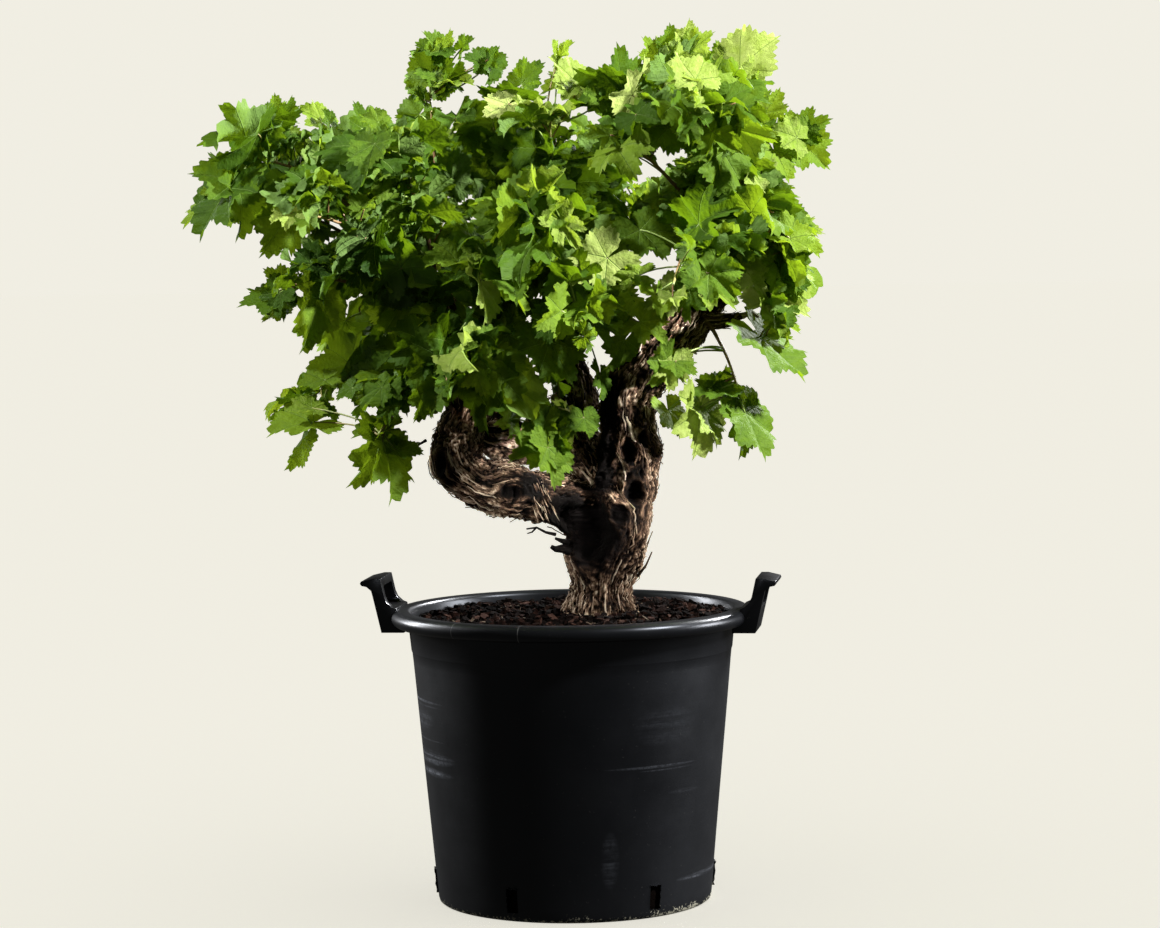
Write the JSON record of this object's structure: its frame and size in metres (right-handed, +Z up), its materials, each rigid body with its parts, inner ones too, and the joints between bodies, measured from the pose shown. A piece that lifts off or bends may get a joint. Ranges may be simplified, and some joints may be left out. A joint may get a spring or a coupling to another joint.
{
  "type": "potted grapevine",
  "caption": "Old bush grapevine with a gnarled, forked trunk and lobed leaves on thin canes, in a round nursery pot with two carrying handles.",
  "frame": {"origin": "centre of the pot's base, on the surface that it stands on", "axes": "+Z up along the pot's axis, +X to the right and -Y to the front, as in the picture"},
  "size_m": [0.9145, 0.6992, 1.2131],
  "materials": {
    "pot_plastic": "dull black moulded plastic, dusty and scuffed",
    "handle_plastic": "smooth black moulded plastic with a soft shine",
    "soil": "coarse dark brown potting soil with bark chips",
    "bark": "old fibrous bark that peels in strips, with knots and hollows",
    "leaf": "green leaf, satin above and matt below, light shines through it"
  },
  "bodies": {
    "root": {"pot": "pot_plastic", "handle_left": "handle_plastic", "handle_right": "handle_plastic", "soil": "soil", "trunk": "bark", "left_arm": "bark", "inner_arm": "bark", "middle_arm": "bark", "right_arm": "bark", "left_shoot_1": "leaf", "left_shoot_2": "leaf", "left_shoot_3": "leaf", "left_shoot_4": "leaf", "left_shoot_5": "leaf", "left_shoot_6": "leaf", "left_shoot_7": "leaf", "left_shoot_8": "leaf", "left_shoot_9": "leaf", "left_shoot_10": "leaf", "left_shoot_11": "leaf", "inner_shoot_1": "leaf", "inner_shoot_2": "leaf", "middle_shoot_1": "leaf", "middle_shoot_2": "leaf", "middle_shoot_3": "leaf", "middle_shoot_4": "leaf", "middle_shoot_5": "leaf", "middle_shoot_6": "leaf", "middle_shoot_7": "leaf", "middle_shoot_8": "leaf", "right_shoot_1": "leaf", "right_shoot_2": "leaf", "right_shoot_3": "leaf", "right_shoot_4": "leaf", "right_shoot_5": "leaf", "right_shoot_6": "leaf", "right_shoot_7": "leaf", "right_shoot_8": "leaf", "right_shoot_9": "leaf", "right_shoot_10": "leaf", "right_shoot_11": "leaf", "right_shoot_12": "leaf"}
  },
  "joints": []
}
